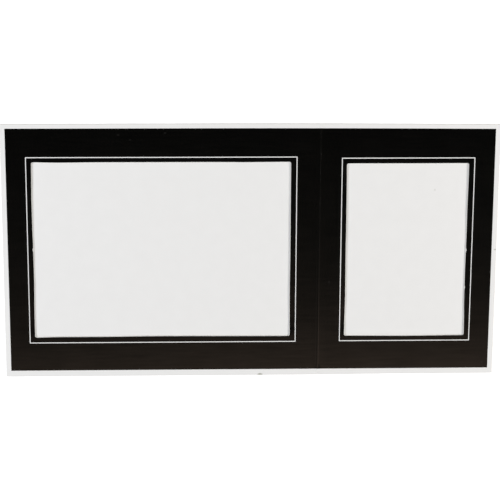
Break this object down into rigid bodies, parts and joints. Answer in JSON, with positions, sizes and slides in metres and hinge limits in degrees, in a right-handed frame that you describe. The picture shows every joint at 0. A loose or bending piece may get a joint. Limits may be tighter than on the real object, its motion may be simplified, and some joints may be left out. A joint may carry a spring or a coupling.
{
  "type": "photo folder",
  "caption": "Open photo folder: a black-printed mat with a large and a small window and fine white keylines, glued over a plain white back card, with one crease between the windows.",
  "frame": {"origin": "centre of the open folder's bounding box, on the underside of the back card", "axes": "+X along the open folder from the large window to the small one, +Y from the foot to the top edge, +Z out of the windows"},
  "size_m": [0.3246, 0.1704, 0.0017],
  "materials": {
    "white_card": "smooth uncoated white card with a faint fibre",
    "black_print": "satin black print",
    "clear_glue": "thin translucent glue strip"
  },
  "bodies": {
    "root": {"back_card": "white_card", "mat_card": "white_card", "black_print_field": "black_print", "black_band_large": "black_print", "black_band_small": "black_print", "large_pocket_side_strip": "clear_glue", "large_pocket_foot_strip": "clear_glue", "large_pocket_crease_strip": "clear_glue", "small_pocket_crease_strip": "clear_glue", "small_pocket_foot_strip": "clear_glue", "small_pocket_side_strip": "clear_glue"}
  },
  "joints": []
}
